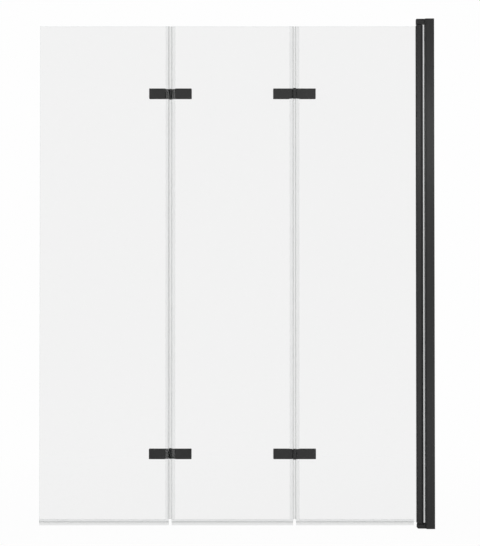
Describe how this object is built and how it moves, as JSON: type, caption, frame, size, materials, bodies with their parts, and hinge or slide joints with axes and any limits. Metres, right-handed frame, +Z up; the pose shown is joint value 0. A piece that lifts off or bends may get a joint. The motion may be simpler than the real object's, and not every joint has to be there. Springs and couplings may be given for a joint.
{
  "type": "folding bath screen",
  "caption": "Frameless folding glass screen for a bath, with black hinges and clear seals, that swings on a pivot profile beside a black wall channel.",
  "frame": {"origin": "middle of the wall face of the wall channel, at its foot", "axes": "+X points into the wall and the screen reaches out along -X, +Y is the back of the screen, +Z is up"},
  "size_m": [1.084, 0.0338, 1.4],
  "materials": {
    "black_profile": "matte black powder coat on an aluminium extrusion",
    "black_hinge": "matte black coating on solid metal",
    "black_plastic": "matte black moulded plastic",
    "black_nylon": "dull black nylon",
    "black_steel": "black coated steel",
    "steel": "stainless steel",
    "clear_glass": "clear toughened glass with ground edges",
    "clear_pvc": "clear extruded plastic",
    "dark_rubber": "dull dark rubber"
  },
  "bodies": {
    "wall_frame": {"wall_channel": "black_profile", "adjusting_profile": "black_profile", "top_cap": "black_plastic", "bottom_cap": "black_plastic", "top_pivot_pin": "steel", "bottom_pivot_pin": "steel", "cap_screws": "steel", "side_screws": "steel", "screw_covers": "black_plastic", "pivot_seal": "clear_pvc"},
    "wall_panel": {"pivot_profile": "black_profile", "top_pivot_bush": "black_nylon", "bottom_pivot_bush": "black_nylon", "glazing_gasket": "dark_rubber", "wall_glass": "clear_glass", "wall_bottom_seal": "clear_pvc", "wall_edge_seal": "clear_pvc", "inner_top_hinge_wall_leaf": "black_hinge", "inner_top_hinge_pin": "black_steel", "inner_top_hinge_wall_clamp": "black_hinge", "inner_bottom_hinge_wall_leaf": "black_hinge", "inner_bottom_hinge_pin": "black_steel", "inner_bottom_hinge_wall_clamp": "black_hinge", "inner_fold_wall_pads": "dark_rubber", "inner_fold_wall_sleeves": "clear_pvc", "inner_fold_wall_screws": "black_steel"},
    "middle_panel": {"middle_glass": "clear_glass", "middle_bottom_seal": "clear_pvc", "middle_inner_edge_seal": "clear_pvc", "middle_outer_edge_seal": "clear_pvc", "inner_top_hinge_middle_leaf": "black_hinge", "inner_top_hinge_middle_clamp": "black_hinge", "inner_bottom_hinge_middle_leaf": "black_hinge", "inner_bottom_hinge_middle_clamp": "black_hinge", "outer_top_hinge_middle_leaf": "black_hinge", "outer_top_hinge_pin": "black_steel", "outer_top_hinge_middle_clamp": "black_hinge", "outer_bottom_hinge_middle_leaf": "black_hinge", "outer_bottom_hinge_pin": "black_steel", "outer_bottom_hinge_middle_clamp": "black_hinge", "inner_fold_middle_pads": "dark_rubber", "outer_fold_middle_pads": "dark_rubber", "inner_fold_middle_sleeves": "clear_pvc", "outer_fold_middle_sleeves": "clear_pvc", "inner_fold_middle_screws": "black_steel", "outer_fold_middle_screws": "black_steel"},
    "outer_panel": {"outer_glass": "clear_glass", "outer_bottom_seal": "clear_pvc", "outer_edge_seal": "clear_pvc", "outer_top_hinge_outer_leaf": "black_hinge", "outer_top_hinge_outer_clamp": "black_hinge", "outer_bottom_hinge_outer_leaf": "black_hinge", "outer_bottom_hinge_outer_clamp": "black_hinge", "outer_fold_outer_pads": "dark_rubber", "outer_fold_outer_sleeves": "clear_pvc", "outer_fold_outer_screws": "black_steel"}
  },
  "joints": [
    {"name": "wall_pivot", "type": "hinge", "parent": "wall_frame", "child": "wall_panel", "pos_m": [-0.0388, 0, 0.7], "axis": [0, 0, 1], "range_deg": [-90, 90]},
    {"name": "inner_fold", "type": "hinge", "parent": "wall_panel", "child": "middle_panel", "pos_m": [-0.3837, -0.01055, 0.7], "axis": [0, 0, 1], "range_deg": [0, 174]},
    {"name": "outer_fold", "type": "hinge", "parent": "middle_panel", "child": "outer_panel", "pos_m": [-0.7248, 0.01055, 0.7], "axis": [0, 0, -1], "range_deg": [0, 174]}
  ]
}
